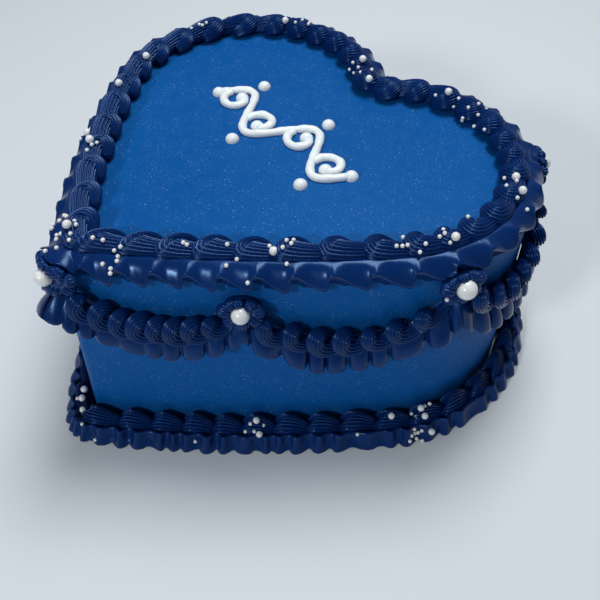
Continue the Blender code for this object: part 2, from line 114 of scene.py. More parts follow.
# The cake itself is sponge and filling under one smooth coat of royal blue icing, drawn level with
# a scraper, so its edge is soft and its wall leans in a little. Fine edible glitter lies on it.
CAKE_HEIGHT = 91.5
EDGE_ROUND = 4.0
EDGE_STEPS = 8
LOBE_Y = 43.3
LOBE_X_RIGHT = 42.0
LOBE_X_LEFT = 40.0
LOBE_RIGHT = 61.0
LOBE_LEFT = 59.5
SIDE_RIGHT = 520.0
SIDE_LEFT = 420.0
TIP_Y = -81.0
TIP_RADIUS = 4.0
TIP_LEAN = 2.0
LEAN_X = 2.2
LEAN_Y = 2.0
TIP_SHARPEST = 2.0
NOTCH_RADIUS = 4.0
NOTCH_SHARPEST = 0.8
HEART_STEPS = (16, 48, 90, 16, 90, 48)
WALL_STEPS = 16
PER_METRE = 1000
ICING_COLOUR = (0.002, 0.088, 0.330, 1.0)
ICING_DEEP = (0.001, 0.072, 0.280, 1.0)
ICING_SHINE = (0.30, 0.70, 1.0, 1.0)
GLITTER_COLOUR = (0.26, 0.46, 0.72, 1.0)
GLITTER_GLOSS = 0.2
FLAKES = (620.0, 0.12, 0.50, 0.6)
POWDER = (1500.0, 0.24, 0.42, 0.16)
DUST_SCALE = 140.0
ICING_REFLECTION = 0.15
ICING_ROUGHNESS = 0.46
ICING_MOTTLE = 0.10
ICING_MOTTLE_SCALE = 14.0
ICING_GRAIN = 0.00012
ICING_GRAIN_SCALE = 60.0


def meet(first, first_reach, second, second_reach, side):
    """Points at the two reaches from two centres, left (1) or right (-1) of the line between them"""
    way = second - first
    gap = np.hypot(way[0], way[1])
    along = (first_reach ** 2 - second_reach ** 2 + gap ** 2) / (2 * gap)
    across = side * np.sqrt(np.maximum(first_reach ** 2 - along ** 2, 0.0))
    return first + (way * along + np.array((-way[1], way[0])) * across) / gap


def bearing(start, end):
    return np.arctan2(end[1] - start[1], end[0] - start[0])


def raised(angle, floor_angle):
    turns = np.ceil(np.maximum(floor_angle - angle, 0.0) / (2 * math.pi))
    return angle + 2 * math.pi * turns


def heart_arcs(outset, height):
    """Six arcs anticlockwise from the tip: their centres, radii, first angles and last angles"""
    rise = height / CAKE_HEIGHT
    tip = np.array((LEAN_X * rise, TIP_Y + TIP_RADIUS + (LEAN_Y + TIP_LEAN) * rise))
    right = np.array((LOBE_X_RIGHT + LEAN_X * rise, LOBE_Y + LEAN_Y * rise))
    left = np.array((LEAN_X * rise - LOBE_X_LEFT, LOBE_Y + LEAN_Y * rise))
    side_r = meet(tip, SIDE_RIGHT - TIP_RADIUS, right, SIDE_RIGHT - LOBE_RIGHT, 1)
    side_l = meet(tip, SIDE_LEFT - TIP_RADIUS, left, SIDE_LEFT - LOBE_LEFT, -1)
    tip_round = np.maximum(TIP_RADIUS + outset, TIP_SHARPEST)
    reach_r = SIDE_RIGHT + outset - tip_round
    reach_l = SIDE_LEFT + outset - tip_round
    sharp = TIP_RADIUS + outset < TIP_SHARPEST
    tip = np.where(sharp, meet(side_r, reach_r, side_l, reach_l, -1), tip)
    notch_round = np.maximum(NOTCH_RADIUS - outset, NOTCH_SHARPEST)
    notch_r = LOBE_RIGHT + outset + notch_round
    notch_l = LOBE_LEFT + outset + notch_round
    notch = meet(right, notch_r, left, notch_l, -1)
    right_join = bearing(side_r, right)
    left_join = raised(bearing(side_l, left), 0.0)
    tip_start = bearing(side_l, tip)
    tip_end = bearing(side_r, tip)
    notch_start = bearing(notch, right)
    notch_end = bearing(notch, left)
    notch_end = notch_end - 2 * math.pi * (notch_end > notch_start)
    lobe_start = bearing(left, notch)
    centres = np.array((tip, side_r, right, notch, left, side_l))
    radii = np.array((
        tip_round, SIDE_RIGHT + outset, LOBE_RIGHT + outset,
        notch_round, LOBE_LEFT + outset, SIDE_LEFT + outset,
    ))
    first = np.array((tip_start, tip_end, right_join, notch_start, lobe_start, left_join))
    last = np.array((
        tip_end, right_join, bearing(right, notch),
        notch_end, raised(left_join, lobe_start), raised(tip_start, left_join),
    ))
    return centres, radii, first, last


def heart_point(share, outset, height):
    """Points of the outline, in millimetres, at shares from 0 to 6, one unit for each arc"""
    share, outset, height = np.broadcast_arrays(np.asarray(share, float) % 6, outset, height)
    shape = share.shape
    share, outset, height = (values.ravel().astype(float) for values in (share, outset, height))
    centres, radii, first, last = heart_arcs(outset, height)
    index = np.minimum(share.astype(int), 5)
    each = np.arange(len(share))
    start = first[index, each]
    angle = start + (last[index, each] - start) * (share - index)
    reach = radii[index, each]
    x = centres[index, 0, each] + reach * np.cos(angle)
    y = centres[index, 1, each] + reach * np.sin(angle)
    return np.stack((x, y, height), -1).reshape(*shape, 3)


class Run:
    """A line round the heart on which distances are measured from the tip towards the right lobe"""

    def __init__(self, outset, height):
        self.outset = outset
        centres, radii, first, last = heart_arcs(np.array([outset]), np.array([height]))
        self.lengths = (np.abs(last - first) * radii)[:, 0]
        self.length = self.lengths.sum()
        self.notch = self.lengths[1:3].sum() + (self.lengths[0] + self.lengths[3]) / 2

    def share(self, distance):
        ends = np.cumsum(self.lengths)
        along = (distance + self.lengths[0] / 2) % self.length
        index = np.minimum(np.searchsorted(ends, along), 5)
        return index + (along - ends[index] + self.lengths[index]) / self.lengths[index]

    def spot(self, distance, outset, height):
        return heart_point(self.share(distance), outset, height)


def mesh_of(name, grids, ring=False):
    """One smooth mesh over grids of points in millimetres, whose rows are closed rings

    The first and last rings are capped, or else joined in a ring.
    """
    points = []
    faces = []
    start = 0
    for grid in grids:
        rows, around = grid.shape[:2]
        ids = start + np.arange(rows * around).reshape(rows, around)
        if ring:
            ids = np.vstack((ids, ids[:1]))
        beside = np.roll(ids, -1, axis=1)
        quads = np.stack((ids[:-1], beside[:-1], beside[1:], ids[1:]), -1)
        faces += quads.reshape(-1, 4).tolist()
        if not ring:
            faces.append(ids[0][::-1].tolist())
            faces.append(ids[-1].tolist())
        points.append(grid.reshape(-1, 3))
        start += rows * around
    spots = (np.concatenate(points) - MIDDLE) / PER_METRE
    mesh = bpy.data.meshes.new(name)
    mesh.from_pydata(spots.tolist(), [], faces)
    mesh.update()
    mesh.shade_smooth()
    return mesh


def dress(name, mesh, material, slot, *nodes):
    """A finished piece of the cake, which stands for the CAD nodes that are named"""
    mesh.materials.append(material)
    piece = link(bpy.data.objects.new(name, mesh))
    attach(piece, "root")
    if nodes:
        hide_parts(*nodes)


class Wire:
    """A shader socket on which Python's operators add Math nodes"""

    def __init__(self, finish, socket):
        self.finish = finish
        self.socket = socket

    def maths(self, operation, first, second):
        return self.finish.node("ShaderNodeMath", {"operation": operation}, {0: first, 1: second})

    def __add__(self, other):
        return self.maths("ADD", self, other)

    def __sub__(self, other):
        return self.maths("SUBTRACT", self, other)

    def __rsub__(self, other):
        return self.maths("SUBTRACT", other, self)

    def __mul__(self, other):
        return self.maths("MULTIPLY", self, other)

    def __gt__(self, other):
        return self.maths("GREATER_THAN", self, other)

    def __lt__(self, other):
        return self.maths("LESS_THAN", self, other)

    __radd__ = __add__
    __rmul__ = __mul__


class Finish:
    """A material in the making, with one Principled shader"""

    def __init__(self, name, **sockets):
        self.material = bpy.data.materials.new(name)
        self.material.use_nodes = True
        self.tree = self.material.node_tree
        self.set(**sockets)

    def feed(self, socket, value):
        if isinstance(value, Wire):
            self.tree.links.new(value.socket, socket)
        else:
            socket.default_value = value

    def set(self, **sockets):
        """Sets or links the shader's sockets, each named with _ for a space"""
        shader = self.tree.nodes["Principled BSDF"]
        for name, value in sockets.items():
            self.feed(shader.inputs[name.replace("_", " ")], value)

    def node(self, kind, settings, sockets, output=0):
        """A node with its settings made first and then its sockets, as a wire from one output"""
        made = self.tree.nodes.new(kind)
        for name, value in settings.items():
            setattr(made, name, value)
        for name, value in sockets.items():
            self.feed(made.inputs[name], value)
        return Wire(self, made.outputs[output])

    def place(self):
        return self.node("ShaderNodeTexCoord", {}, {}, "Object")

    def noise(self, scale, detail):
        sockets = {"Vector": self.place(), "Scale": scale, "Detail": detail}
        return self.node("ShaderNodeTexNoise", {}, sockets)

    def cells(self, scale):
        return self.node("ShaderNodeTexVoronoi", {}, {"Vector": self.place(), "Scale": scale})

    def mix(self, share, first, second):
        """A colour between two"""
        return self.node(
            "ShaderNodeMix", {"data_type": "RGBA"}, {"Factor": share, 6: first, 7: second}, 2
        )

    def bump(self, height, distance):
        return self.node("ShaderNodeBump", {}, {"Height": height, "Distance": distance})


def icing_rings():
    """Rings of the iced heart from its foot to the flat of its top, as outset and height"""
    levels = [(0.0, (CAKE_HEIGHT - EDGE_ROUND) * step / WALL_STEPS) for step in range(WALL_STEPS)]
    for step in range(EDGE_STEPS + 1):
        tilt = math.pi / 2 * step / EDGE_STEPS
        inset = EDGE_ROUND * (1 - math.cos(tilt))
        levels.append((-inset, CAKE_HEIGHT - EDGE_ROUND * (1 - math.sin(tilt))))
    return levels


def glitter(scale, size, least_dust, brightness):
    """Flecks at the middles of fine cells, in the patches where enough dust lies"""
    return (icing.cells(scale) < size) * (dust > least_dust) * brightness


shares = np.concatenate([index + np.arange(count) / count for index, count in enumerate(HEART_STEPS)])
icing_grid = np.array([heart_point(shares, outset, height) for outset, height in icing_rings()])
low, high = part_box("cake")
made_low = icing_grid.reshape(-1, 3).min(0)
made_high = icing_grid.reshape(-1, 3).max(0)
MIDDLE = np.array((
    (made_low[0] + made_high[0]) / 2 - (low.x + high.x) / 2 * PER_METRE,
    (made_low[1] + made_high[1]) / 2 - (low.y + high.y) / 2 * PER_METRE,
    0.0,
))

icing = Finish("royal_blue_icing", Specular_IOR_Level=ICING_REFLECTION, Specular_Tint=ICING_SHINE)
cloud = icing.noise(ICING_MOTTLE_SCALE, 3.0)
dust = icing.noise(DUST_SCALE, 2.0)
flecks = glitter(*FLAKES) + glitter(*POWDER)
icing.set(
    Base_Color=icing.mix(flecks, icing.mix(cloud, ICING_DEEP, ICING_COLOUR), GLITTER_COLOUR),
    Roughness=ICING_ROUGHNESS + cloud * ICING_MOTTLE - flecks * GLITTER_GLOSS,
    Normal=icing.bump(icing.noise(ICING_GRAIN_SCALE, 4.0), ICING_GRAIN),
)
dress("iced_heart", mesh_of("iced_heart", [icing_grid]), icing.material, "blue_icing", "cake")

# The scroll on the top is royal icing in cream white, piped from a small round tip: a running stem
# with a curl in each hollow, a dot over each crest and a blob where each line stops.
SCROLL_X = -2.0
SCROLL_Y = 31.0
SCROLL_LENGTH = 84.0
SCROLL_WAVES = 2
SCROLL_SWING = 11.0
SCROLL_WIDTH = 1.8
SCROLL_RISE = 2.6
SCROLL_SINK = 0.7
SCROLL_STEPS = 90
SCROLL_AROUND = 16
SCROLL_UNEVEN = 0.10
SCROLL_UNEVEN_LENGTH = 4.0
SCROLL_POINT = 0.02
SCROLL_DROOP = 0.4
CURL_RADIUS = 7.1
CURL_START = 152.0
CURL_TURN = 290.0
CURL_END = 0.37
CURL_STEPS = 44
CURL_LIFT = 2.0
BLOB_RADIUS = 2.9
BLOB_LIFT = 0.3
BLOB_FLAT = 0.95
DOT_SPACE = 7.0
SCROLL_COLOUR = (0.80, 0.86, 0.87, 1.0)
SCROLL_GRAIN = 0.00012
SCROLL_GRAIN_SCALE = 350.0


def uneven(index, turn):
    """A fixed unevenness from -1 to 1 for a piece in a run"""
    return np.sin(index * 2.399 + turn) * 0.6 + np.sin(index * 5.13 + turn * 3) * 0.4


def piped_line(line, width, seed):
    """Rings round a line of icing that lies on the cake's top, with rounded ends"""
    line = np.array(line)
    way = np.gradient(line, axis=0)
    way /= np.linalg.norm(way, axis=1)[:, None]
    run = np.concatenate(((0.0,), np.cumsum(np.linalg.norm(np.diff(line, axis=0), axis=1))))
    end = np.minimum(run, run[-1] - run)
    taper = np.sqrt(1 - np.maximum(1 - end / width, 0.0) ** 2) * (1 - SCROLL_POINT) + SCROLL_POINT
    taper *= 1 + SCROLL_UNEVEN * uneven(run / SCROLL_UNEVEN_LENGTH, seed)
    angle = 2 * math.pi * np.arange(SCROLL_AROUND) / SCROLL_AROUND
    across = np.cos(angle)[None, :] * width * taper[:, None]
    half_rise = (SCROLL_RISE + SCROLL_SINK) / 2
    up = np.sin(angle)[None, :] * half_rise * taper[:, None]
    x = line[:, :1] - way[:, 1:] * across
    y = line[:, 1:] + way[:, :1] * across
    lift = SCROLL_DROOP + (1 - SCROLL_DROOP) * taper[:, None]
    centre = CAKE_HEIGHT - SCROLL_SINK + half_rise * lift
    return np.stack((x, y, centre + up), -1)


def ball_grid(centre, radius, flat=1.0, around=24, levels=14):
    """Rings round a ball, flattened upwards by a share"""
    tilt = np.linspace(0.02, math.pi - 0.02, levels)[:, None]
    turn = (2 * math.pi * np.arange(around) / around)[None, :]
    x = centre[0] + radius * np.sin(tilt) * np.cos(turn)
    y = centre[1] + radius * np.sin(tilt) * np.sin(turn)
    z = centre[2] - radius * flat * np.cos(tilt) + 0 * turn
    return np.stack((x, y, z), -1)


def scroll_grids():
    start = SCROLL_X - SCROLL_LENGTH / 2
    share = np.arange(SCROLL_STEPS + 1) / SCROLL_STEPS
    swing = SCROLL_SWING * np.sin(2 * math.pi * SCROLL_WAVES * share)
    stem = np.stack((start + SCROLL_LENGTH * share, SCROLL_Y + swing), -1)
    grids = [piped_line(stem, SCROLL_WIDTH, 1.0)]
    spots = [stem[0], stem[-1]]
    turn = np.arange(CURL_STEPS + 1) / CURL_STEPS
    for crest in range(2 * SCROLL_WAVES):
        x = start + SCROLL_LENGTH * (crest + 0.5) / (2 * SCROLL_WAVES)
        up = 1 if crest % 2 == 0 else -1
        angle = np.radians(up * (CURL_START + CURL_TURN * turn))
        reach = CURL_RADIUS * (1 + (CURL_END - 1) * turn)
        y = SCROLL_Y + CURL_LIFT * up
        curl = np.stack((x + reach * np.cos(angle), y + reach * np.sin(angle)), -1)
        grids.append(piped_line(curl, SCROLL_WIDTH, crest + 2.0))
        spots.append(curl[-1])
        spots.append((x, SCROLL_Y + up * (SCROLL_SWING + DOT_SPACE)))
    for x, y in spots:
        grids.append(ball_grid((x, y, CAKE_HEIGHT + BLOB_LIFT), BLOB_RADIUS, BLOB_FLAT))
    return grids


cream = Finish("cream_piping", Roughness=0.38, Base_Color=SCROLL_COLOUR, Subsurface_Weight=0.15)
cream.set(
    Normal=cream.bump(cream.noise(SCROLL_GRAIN_SCALE, 2.0), SCROLL_GRAIN),
    Subsurface_Scale=0.003,
)
dress("piped_scroll", mesh_of("piped_scroll", scroll_grids()), cream.material, "blue_icing", "cake")

# The crown is a ring of navy shells from a fine star tip. Each is one stroke that starts on the
# inside, curls back round its own head and is drawn off forwards along the outside to a tail, which
# the next head covers. Its ridges follow the stroke.
CROWN_OUTSET = -8.8
CROWN_OUTSETS = ((0, -8.8), (395, -8.8), (440, -5.2), (505, -5.2), (530, -6.2), (548, -8.0))
CROWN_PITCHES = (
    (0, 14.5), (30, 12.2), (60, 15.0), (95, 15.8), (122, 10.5), (142, 12.5), (165, 14.0), (190, 10.5),
    (215, 12.5), (235, 14.0), (262, 12.0), (290, 12.0), (335, 11.5), (355, 17.5), (390, 16.5),
    (415, 14.0), (460, 16.0), (490, 13.0), (510, 17.0), (548, 14.5),
)
CROWN_SINK = 0.1
CROWN_TURNS = (
    (0.76, -3.4, 2.2, 2.4), (0.58, -3.7, 3.4, 3.0), (0.42, -3.3, 4.5, 3.6), (0.30, -2.0, 5.1, 4.1),
    (0.26, -0.6, 5.2, 4.5), (0.33, 0.5, 5.0, 4.8), (0.50, 0.9, 4.7, 4.7), (0.71, 0.9, 4.3, 4.4),
    (0.94, 0.6, 3.9, 4.0), (1.17, 0.2, 3.4, 3.5), (1.38, -0.2, 2.8, 2.9),
)
CROWN_STEPS = 21
CROWN_RIDGES = 20
CROWN_GROOVE = 0.20
SAMPLES_PER_RIDGE = 5
SHELL_UNEVEN = 0.06
HEAD_KNOTS = 5
HEAD_SWAY = 0.5
TAIL_SWAY = 0.4
NAVY_COLOUR = (0.0013, 0.0270, 0.1450, 1.0)
NAVY_DEEP = (0.0006, 0.0130, 0.0820, 1.0)
NAVY_SHINE = (0.34, 0.60, 1.0, 1.0)
NAVY_REFLECTION = 0.40
NAVY_ROUGHNESS = 0.19
NAVY_MOTTLE = 0.14
NAVY_MOTTLE_SCALE = 45.0
NAVY_GRAIN = 0.00010
NAVY_GRAIN_SCALE = 260.0


def ridge_angles(first, last, ridges):
    """Angles round a section, and how far the grooves between ridges cut in, from 0 to 1"""
    step = 2 * math.pi / ridges / SAMPLES_PER_RIDGE
    index = np.arange(round(math.radians(first) / step), round(math.radians(last) / step) + 1)
    groove = 1 - np.abs(np.sin(math.pi * index / SAMPLES_PER_RIDGE))
    return index * step, groove


def paced(length, pitches):
    """Places round a run of a given length, spaced by pitches that change with the distance"""
    places = [0.0]
    while places[-1] < length:
        places.append(places[-1] + np.interp(places[-1], *zip(*pitches)))
    nearest = min(len(places) - 1, len(places) - 2, key=lambda last: abs(places[last] - length))
    return np.array(places[:nearest + 1]) * length / places[nearest]


def smooth_line(knots, count):
    """Evenly stepped points on a smooth curve through knots, one row each"""
    knots = np.array(knots, float)
    padded = np.vstack((2 * knots[0] - knots[1], knots, 2 * knots[-1] - knots[-2]))
    place = np.linspace(0, len(knots) - 1, count)
    index = np.minimum(place.astype(int), len(knots) - 2)
    part = (place - index)[:, None]
    before, first, second, after = (padded[index + offset] for offset in range(4))
    curve = (
        2 * first + (second - before) * part
        + (2 * before - 5 * first + 4 * second - after) * part ** 2
        + (3 * first - before - 3 * second + after) * part ** 3
    )
    return curve / 2


def swept(line, radius, ridges, groove_depth):
    """Rings of a ridged rope round a line of points (place, outset, height)"""
    way = np.gradient(line, axis=0)
    way /= np.linalg.norm(way, axis=1)[:, None]
    up = np.array((0.0, 0.0, 1.0))
    normals = []
    for step in way:
        up = up - step * (up @ step)
        up = up / np.linalg.norm(up)
        normals.append(up)
    normals = np.array(normals)
    side = np.cross(way, normals)
    angle, groove = ridge_angles(0, 360, ridges)
    angle, groove = angle[:-1], groove[:-1]
    reach = radius[:, None] * (1 - groove_depth * groove)[None, :]
    ring = normals[:, None, :] * (reach * np.cos(angle))[..., None]
    return ring + side[:, None, :] * (reach * np.sin(angle))[..., None] + line[:, None, :]


def curled_shell(index, start, pitch):
    size = 1 + SHELL_UNEVEN * uneven(index, 1.0)
    knots = np.array(CROWN_TURNS) * (pitch, 1.0, size, size)
    knots[:HEAD_KNOTS, 1] += HEAD_SWAY * uneven(index, 7.0)
    knots[HEAD_KNOTS:, 1] += TAIL_SWAY * uneven(index, 3.0)
    line = smooth_line(knots, CROWN_STEPS)
    rings = swept(line[:, :3], line[:, 3], CROWN_RIDGES, CROWN_GROOVE)
    centre = np.interp(start + rings[..., 0], *zip(*CROWN_OUTSETS))
    height = CAKE_HEIGHT - CROWN_SINK + np.maximum(rings[..., 2], 0.0)
    return crown_run.spot(start + rings[..., 0], centre + rings[..., 1], height)


crown_run = Run(CROWN_OUTSET, CAKE_HEIGHT)
crown_places = paced(crown_run.length, CROWN_PITCHES)
navy = Finish("navy_piping", Specular_IOR_Level=NAVY_REFLECTION, Specular_Tint=NAVY_SHINE)
mottle = navy.noise(NAVY_MOTTLE_SCALE, 3.0)
navy.set(
    Base_Color=navy.mix(mottle, NAVY_DEEP, NAVY_COLOUR),
    Roughness=NAVY_ROUGHNESS + mottle * NAVY_MOTTLE,
    Normal=navy.bump(navy.noise(NAVY_GRAIN_SCALE, 3.0), NAVY_GRAIN),
)
crown_grids = [
    curled_shell(index, start, end - start)
    for index, (start, end) in enumerate(zip(crown_places, crown_places[1:]))
]
crown_mesh = mesh_of("crown_shells", crown_grids)
dress("crown_shells", crown_mesh, navy.material, "navy_piping", "top_shells")

# The crown ruffle is a ribbon from a petal tip, piped under the shells and out over the cake's edge
# with a back and forth sway. Each wave rises to a crest, falls forwards to a rounded lobe and folds
# back steeply under the next crest.
RUFFLE_PITCHES = (
    (0, 12.4), (20, 12.6), (34, 11.0), (48, 12.6), (72, 13.4), (92, 15.0), (130, 14.5),
    (170, 13.5), (400, 13.5), (520, 13.7), (600, 13.0),
)
RUFFLE_PHASE = 9.8
RUFFLE_STEPS = 36
RUFFLE_ROOT = (-4.0, 4.4)
RUFFLE_TURNS = (
    (0.000, 1.6, 3.4), (0.160, 1.7, 2.1), (0.390, 2.1, -0.6), (0.570, 2.8, -1.9), (0.740, 3.5, -2.4),
    (0.845, 3.5, -1.7), (0.885, 3.0, 0.1), (0.878, 2.4, 1.9), (0.915, 1.9, 2.9), (1.000, 1.6, 3.4),
)
RUFFLE_SWAY_CURVE = 1.3
RUFFLE_OUT_CURVE = 0.85
RUFFLE_DROP_CURVE = 1.5
RUFFLE_UNEVEN = 0.14
RUFFLE_TUCK = 5.5
RUFFLE_TUCK_LEAST = 0.8
RUFFLE_UNDER = 0.1
RUFFLE_BEHIND = 1.0
RUFFLE_LEFT = 1.4
RUFFLE_LEFT_SIDE = ((0, 1), (4, 0), (400, 0), (450, 1), (590, 1), (600, 1))
RUFFLE_THICK = 1.6
RUFFLE_EDGE = 1.1
RUFFLE_COLUMNS = 14
JOINT_PLACES = (0.0, 65.2, 143.2, 222.5)
PEARL_HEIGHTS = (90.0, 79.6, 86.0, 87.6, 84.0)
ROSETTE_RADIUS = 8.6
ROSETTE_RISE = 5.0
ARCH_SPACE = 0.6
CLEARANCE = 0.4


def all_round(values):
    """Values given from the tip to the notch, carried on round the other side"""
    return list(values) + list(reversed(values[1:-1]))


def joint_distances(run):
    far_side = [run.length - place for place in reversed(JOINT_PLACES[1:])]
    return list(JOINT_PLACES) + [run.notch] + far_side


def ruffle_floor(spots):
    """The lowest that the ruffle may hang at each spot, as it arches over the rosettes"""
    lowest = np.full(spots.shape[:-1], 0.0)
    for place, height in zip(joint_distances(wall_run), all_round(PEARL_HEIGHTS)):
        apart = np.linalg.norm(spots - wall_run.spot(place, 0.0, CAKE_HEIGHT), axis=-1)
        top = height + ROSETTE_RISE + CLEARANCE + RUFFLE_THICK / 2
        arch = ROSETTE_RISE * (apart / (ROSETTE_RADIUS + ARCH_SPACE)) ** 3
        lowest = np.maximum(lowest, top - arch)
    return lowest


def ribbon(run, distance, outset, height, thick):
    """Rings round a ribbon of icing whose middle surface is given, rows along it and columns across"""
    across = np.gradient(outset, axis=1)
    down = np.gradient(height, axis=1)
    length = np.hypot(across, down) + 1e-9
    out = -down / length * thick / 2
    up = across / length * thick / 2
    front = run.spot(distance, outset + out, height + up)
    back = run.spot(distance, outset - out, height - up)
    lip_out = outset + across / length * thick / 2
    lip_up = height + down / length * thick / 2
    lip = run.spot(distance[:, -1:], lip_out[:, -1:], lip_up[:, -1:])
    return np.concatenate((front, lip, back[:, ::-1]), axis=1)


def crown_ruffle():
    run = Run(0.0, CAKE_HEIGHT)
    crests = paced(run.length, RUFFLE_PITCHES)
    waves = len(crests) - 1
    turn = (np.arange(waves * RUFFLE_STEPS) / RUFFLE_STEPS)[:, None]
    down = (np.arange(RUFFLE_COLUMNS) / (RUFFLE_COLUMNS - 1))[None, :]
    size = 1 + RUFFLE_UNEVEN * uneven(turn / 2, 2.0)
    knots = [(wave + share, out, up) for wave in range(waves) for share, out, up in RUFFLE_TURNS[:-1]]
    knots.append((waves + RUFFLE_TURNS[0][0],) + RUFFLE_TURNS[0][1:])
    edge = smooth_line(knots, waves * RUFFLE_STEPS + 1)[:-1]
    share = turn + (edge[:, :1] - turn) * down ** RUFFLE_SWAY_CURVE
    crests = np.append(crests, run.length + crests[1])
    place = RUFFLE_PHASE + np.interp(share, np.arange(waves + 2), crests)
    left = RUFFLE_LEFT * np.interp(place % run.length, *zip(*RUFFLE_LEFT_SIDE))
    edge_out = edge[:, 1:2] + left
    edge_up = RUFFLE_TURNS[0][2] + (edge[:, 2:] - RUFFLE_TURNS[0][2]) * size
    outset = RUFFLE_ROOT[0] + (edge_out - RUFFLE_ROOT[0]) * down ** RUFFLE_OUT_CURVE
    height = CAKE_HEIGHT + RUFFLE_ROOT[1] + (edge_up - RUFFLE_ROOT[1]) * down ** RUFFLE_DROP_CURVE
    height = np.maximum(height, ruffle_floor(run.spot(place, 0.0, CAKE_HEIGHT)))
    thick = RUFFLE_THICK + (RUFFLE_EDGE - RUFFLE_THICK) * down ** 2
    front = ribbon(run, place, outset, height, thick)[:, :RUFFLE_COLUMNS + 1]
    lift = (1 + np.cos(2 * math.pi * turn)) / 2
    tuck = RUFFLE_TUCK_LEAST + (RUFFLE_TUCK - RUFFLE_TUCK_LEAST) * lift
    highest = CAKE_HEIGHT - RUFFLE_BEHIND
    under = run.spot(place[:, :1], RUFFLE_UNDER, np.minimum(height[:, -1:] - tuck, highest))
    inner = run.spot(place[:, :1], RUFFLE_ROOT[0], highest)
    return np.concatenate((front, under, inner), axis=1)


wall_run = Run(0.0, 60.0)
ruffle_mesh = mesh_of("crown_ruffle", [crown_ruffle()], ring=True)
dress("crown_ruffle", ruffle_mesh, navy.material, "navy_piping", "top_ruffle")

# The drapes are pleated ribbons that hang in swags on the wall, piped first with the thin side of a
# petal tip downwards, so that their lower edges are thin and catch the light. They spread at the tip
# and under the rosettes at the widest part of the sides.
JOINT_HEIGHTS = (87.5, 79.7, 84.5, 84.5, 83.0)
SWAG_SAGS = (13.0, 17.0, 17.0, 16.0)
SWAG_SHOULDER = 2.0
SWAG_CURVE = 0.8
DRAPE_TOP = 4.9
DRAPE_TUCK = 2.0
DRAPE_LENGTH = 9.0
DRAPE_END_LENGTH = 0.72
DRAPE_SCALLOP = 0.8
DRAPE_SHELF = 0.8
DRAPE_LIP = 6.8
DRAPE_BULGE = 0.8
DRAPE_GAP = 0.3
DRAPE_PITCH = 9.0
DRAPE_SWING = 0.9
DRAPE_SWAY = 0.30
DRAPE_SWAY_LENGTH = 2.3
DRAPE_UNEVEN = 0.4
DRAPE_STEPS = 24
DRAPE_COLUMNS = 12
DRAPE_THICK = 1.3
DRAPE_EDGE = 0.7
DRAPE_FOLD = 2.2
DRAPE_FOLD_MIDDLE = 0.3
DRAPE_FOLD_CURVE = 0.6
DRAPE_CREASE = 1.15
DRAPE_FLARE = 3.0
DRAPE_FLARE_WIDTH = 8.0
DRAPE_END = 3.0
SIDE_FLARE = 2.8
SIDE_FLARE_WIDTH = 13.0
SIDE_FLARE_PAST = 3.0
TIP_OVERLAP = 5.0
TIP_PLEATS = 1.7
TIP_PLEAT_WIDTH = 9.0
NOTCH_SPACE = 2.4
SMOOTH_FOLD = 0.25
SMOOTH_MIDDLE = 0.40
SMOOTH_REACH = 0.22
SMOOTH_BLEND = 0.04
SWAGS = 8


def swag_height(share, first, last, sag):
    """Height of a swag's middle line at a share of its length"""
    line = first + (last - first) * share
    return line - SWAG_SHOULDER - sag * np.sin(math.pi * share) ** SWAG_CURVE


def end_space(end):
    """Half the space between two drapes, wider in the notch"""
    return (NOTCH_SPACE if abs(end - wall_run.notch) < 1 else DRAPE_GAP) / 2


def drape_grid(number, start, end, first, last, sag):
    """Rings round one drape; any past the heart's tip get no valid height and draw nothing"""
    begin = start + end_space(start) - TIP_OVERLAP * (number == 1)
    finish = end - end_space(end) + TIP_OVERLAP * (number == SWAGS)
    pleats = round((finish - begin) / DRAPE_PITCH)
    turn = (np.arange(pleats * DRAPE_STEPS + 1) / DRAPE_STEPS)[:, None]
    place = begin + (finish - begin) * turn / pleats
    share = (place - start) / (end - start)
    down = (np.arange(DRAPE_COLUMNS) / (DRAPE_COLUMNS - 1))[None, :]
    from_tip = np.minimum(place, wall_run.length - place)
    gathered = TIP_PLEATS * np.exp(-from_tip / TIP_PLEAT_WIDTH) * (1 if number > SWAGS / 2 else -1)
    phase = turn + DRAPE_SWAY * uneven(turn / DRAPE_SWAY_LENGTH, number) + gathered
    wave = 1 - 2 * (1 - np.abs(np.cos(math.pi * phase))) ** DRAPE_CREASE
    depth = 1 + DRAPE_UNEVEN * uneven(turn / 2, number + 2.0)
    if number == 1:
        beyond = np.abs(share - SMOOTH_MIDDLE) - SMOOTH_REACH
        depth = depth * (SMOOTH_FOLD + (1 - SMOOTH_FOLD) / (1 + np.exp(-beyond / SMOOTH_BLEND)))
    depth = depth * np.clip(np.minimum(place - begin, finish - place) / DRAPE_END, 0.0, 1.0)
    at_tip = np.exp(-(from_tip / DRAPE_FLARE_WIDTH) ** 2)
    at_side = np.exp(-((from_tip - JOINT_PLACES[2] - SIDE_FLARE_PAST) / SIDE_FLARE_WIDTH) ** 2)
    full = DRAPE_END_LENGTH + (1 - DRAPE_END_LENGTH) * np.sin(math.pi * share) ** 0.5
    length = DRAPE_LENGTH * full + DRAPE_SCALLOP * wave * depth + SIDE_FLARE * at_side
    top = swag_height(share, first, last, sag) - DRAPE_TOP + DRAPE_TUCK
    along = place + DRAPE_SWING * np.sin(2 * math.pi * phase) * down * depth
    outset = DRAPE_SHELF + (DRAPE_LIP - DRAPE_SHELF) * np.sin(down * math.pi / 2) ** DRAPE_BULGE
    outset = outset + DRAPE_FOLD * (wave - DRAPE_FOLD_MIDDLE) * depth * down ** DRAPE_FOLD_CURVE
    outset = outset + (DRAPE_FLARE * at_tip + SIDE_FLARE * at_side) * down
    height = top - (length + DRAPE_TUCK) * down
    thick = DRAPE_THICK + (DRAPE_EDGE - DRAPE_THICK) * down
    return ribbon(wall_run, along, outset, height, thick)


